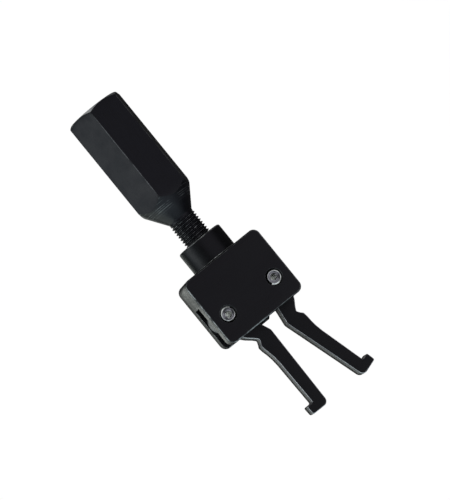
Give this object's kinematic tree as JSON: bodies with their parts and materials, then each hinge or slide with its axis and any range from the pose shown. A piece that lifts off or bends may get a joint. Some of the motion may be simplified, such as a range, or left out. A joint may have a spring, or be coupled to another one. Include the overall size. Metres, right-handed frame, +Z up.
{
  "type": "gear puller",
  "caption": "Two-jaw internal puller: hexagonal drive bar and forcing screw in a slotted yoke, with outward-hooked jaws spread by the screw's tip",
  "frame": {"origin": "Centre of the mouth of the threaded socket in the top face of the drive hexagon, on the screw's axis; the whole tool lies below it.", "axes": "+Z runs up the screw's axis, out of the socket's mouth. +X runs from the left jaw to the right jaw, along the line through the two pivot pins. The yoke's front face looks along -Y."},
  "size_m": [0.0498, 0.0298, 0.1748],
  "materials": {
    "yoke_black_oxide": "black oxide on machined steel, satin",
    "spindle_black_oxide": "black oxide on turned hexagon bar, satin",
    "tip_black_oxide": "black oxide on hardened steel, ground flat on the end",
    "spring_steel": "bright spring steel, oiled",
    "ball_steel": "polished bearing steel",
    "jaw_black_oxide": "black oxide on cut and ground steel, satin",
    "bright_pin_steel": "bright coiled spring steel"
  },
  "bodies": {
    "yoke_body": {"yoke": "yoke_black_oxide", "left_pivot_pin": "bright_pin_steel", "right_pivot_pin": "bright_pin_steel"},
    "tip_body": {"thrust_tip": "tip_black_oxide", "tip_retaining_ring": "spring_steel", "thrust_ball": "ball_steel"},
    "spindle_body": {"drive_spindle": "spindle_black_oxide"},
    "left_jaw_body": {"left_jaw": "jaw_black_oxide"},
    "right_jaw_body": {"right_jaw": "jaw_black_oxide"}
  },
  "joints": [
    {"name": "spindle_feed", "type": "slide", "parent": "yoke_body", "child": "tip_body", "axis": [0, 0, 1], "range_m": [-0.012, 0]},
    {"name": "spindle_turn", "type": "hinge", "parent": "tip_body", "child": "spindle_body", "pos_m": [0, 0, 0], "axis": [0, 0, 1], "range_deg": [-2880.5, 0]},
    {"name": "left_jaw_spread", "type": "hinge", "parent": "yoke_body", "child": "left_jaw_body", "pos_m": [-0.0138, 0, -0.11371], "axis": [0, 1, 0], "range_deg": [0, 16.41]},
    {"name": "right_jaw_swing", "type": "hinge", "parent": "yoke_body", "child": "right_jaw_body", "pos_m": [0.0138, 0, -0.11371], "axis": [0, -1, 0], "range_deg": [0, 72.8]}
  ],
  "couplings": [
    {"joint": "spindle_turn", "follows": "spindle_feed", "rad_per_m": 4188.8},
    {"joint": "left_jaw_spread", "follows": "spindle_feed", "rad_per_m": -23.853}
  ]
}
